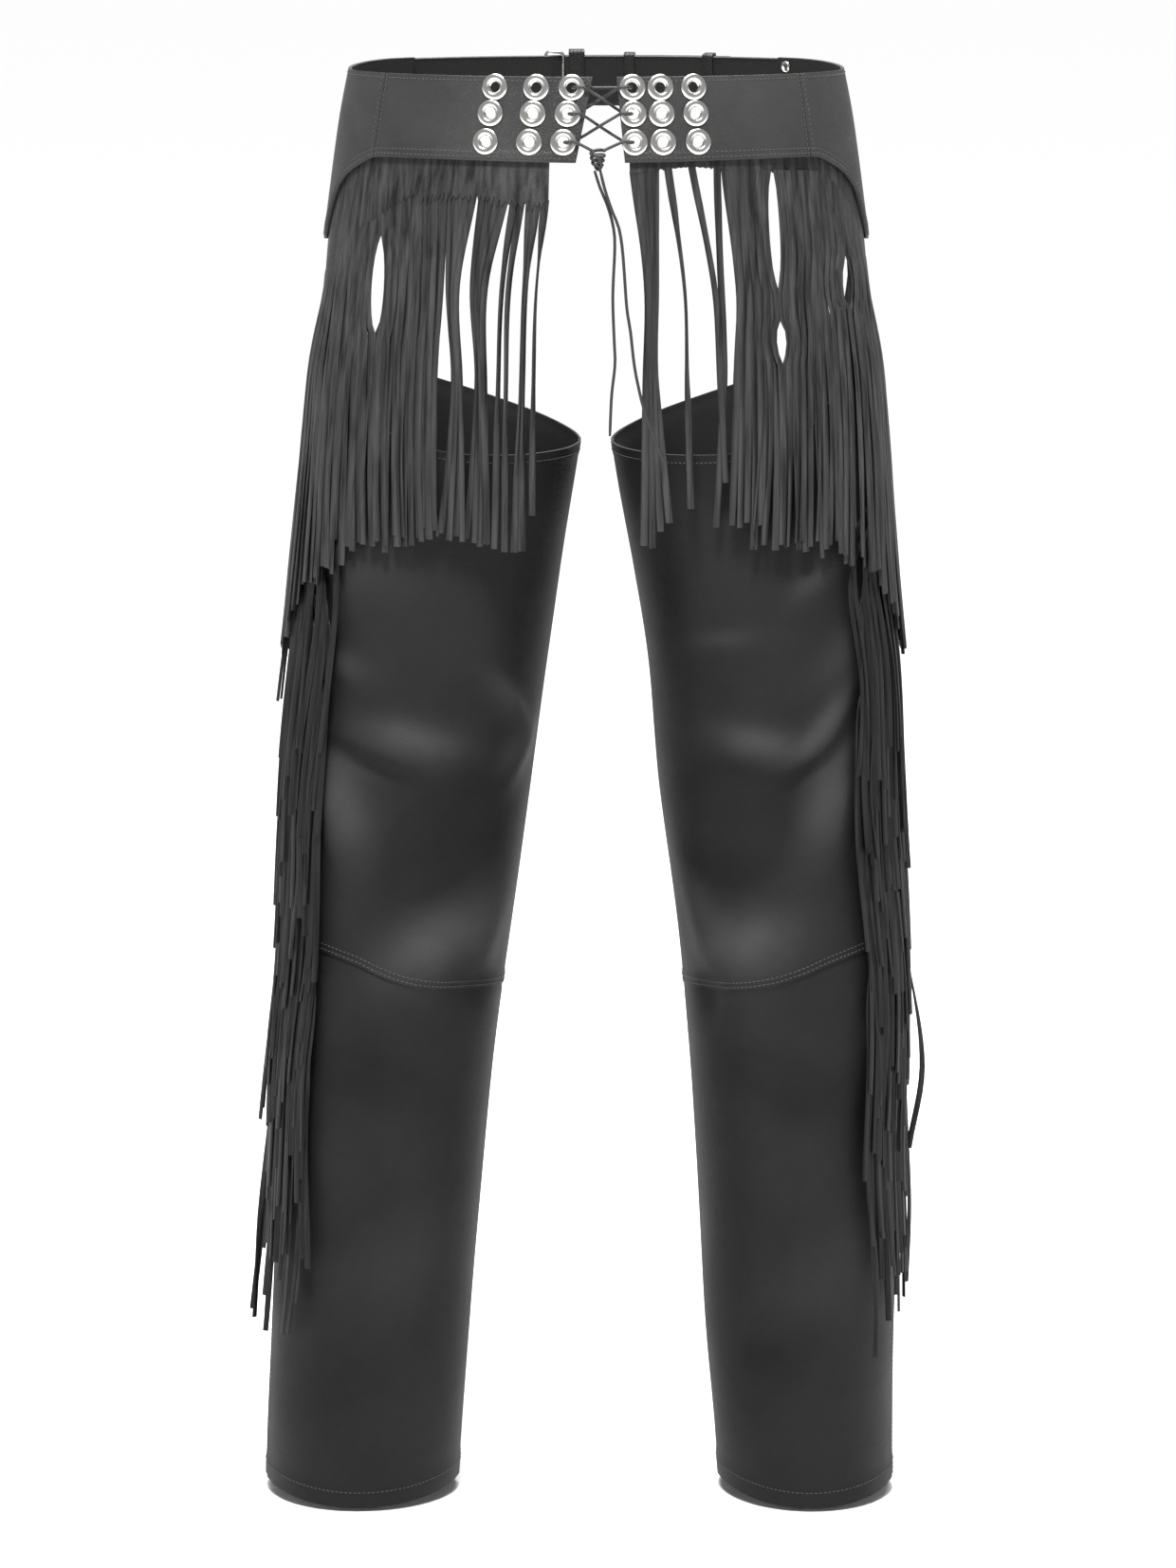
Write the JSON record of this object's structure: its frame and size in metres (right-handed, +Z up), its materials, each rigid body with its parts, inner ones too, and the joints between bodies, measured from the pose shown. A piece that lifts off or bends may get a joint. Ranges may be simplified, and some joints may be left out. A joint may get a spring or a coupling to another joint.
{
  "type": "fringed leather chaps",
  "caption": "Black leather chaps in worn form: laced front yoke with open grommets, buckled back belt, full legs, long fringe along the yoke and down each outer seam.",
  "frame": {"origin": "middle of the waist, at half the height of the front yoke, where the wearer holds it", "axes": "+Z up along the legs, -Y to the front with the lacing, +X to the right of the picture"},
  "size_m": [0.4896, 0.2708, 1.0681],
  "materials": {
    "leather": "soft satin",
    "fringe_leather": "soft satin, cut edges",
    "belt_leather": "satin",
    "lace": "matte",
    "nickel": "polished nickel"
  },
  "bodies": {
    "root": {"front_yoke_left": "leather", "side_yoke_left": "leather", "thigh_front_left": "leather", "shin_front_left": "leather", "leg_back_left": "leather", "yoke_fringe_left": "fringe_leather", "side_fringe_left": "fringe_leather", "grommet_left_1_1": "nickel", "grommet_left_1_2": "nickel", "grommet_left_1_3": "nickel", "grommet_left_2_1": "nickel", "grommet_left_2_2": "nickel", "grommet_left_2_3": "nickel", "grommet_left_3_1": "nickel", "grommet_left_3_2": "nickel", "grommet_left_3_3": "nickel", "front_yoke_right": "leather", "side_yoke_right": "leather", "thigh_front_right": "leather", "shin_front_right": "leather", "leg_back_right": "leather", "yoke_fringe_right": "fringe_leather", "side_fringe_right": "fringe_leather", "grommet_right_1_1": "nickel", "grommet_right_1_2": "nickel", "grommet_right_1_3": "nickel", "grommet_right_2_1": "nickel", "grommet_right_2_2": "nickel", "grommet_right_2_3": "nickel", "grommet_right_3_1": "nickel", "grommet_right_3_2": "nickel", "grommet_right_3_3": "nickel", "belt_billet": "belt_leather", "belt_buckle_strap": "belt_leather", "buckle_frame": "nickel", "buckle_prong": "nickel", "keeper_1": "belt_leather", "keeper_2": "belt_leather", "keeper_3": "belt_leather", "belt_rivet": "nickel", "lace_crossing": "lace", "lace_knot": "lace", "lace_tail_long": "lace", "lace_tail_short": "lace"}
  },
  "joints": []
}
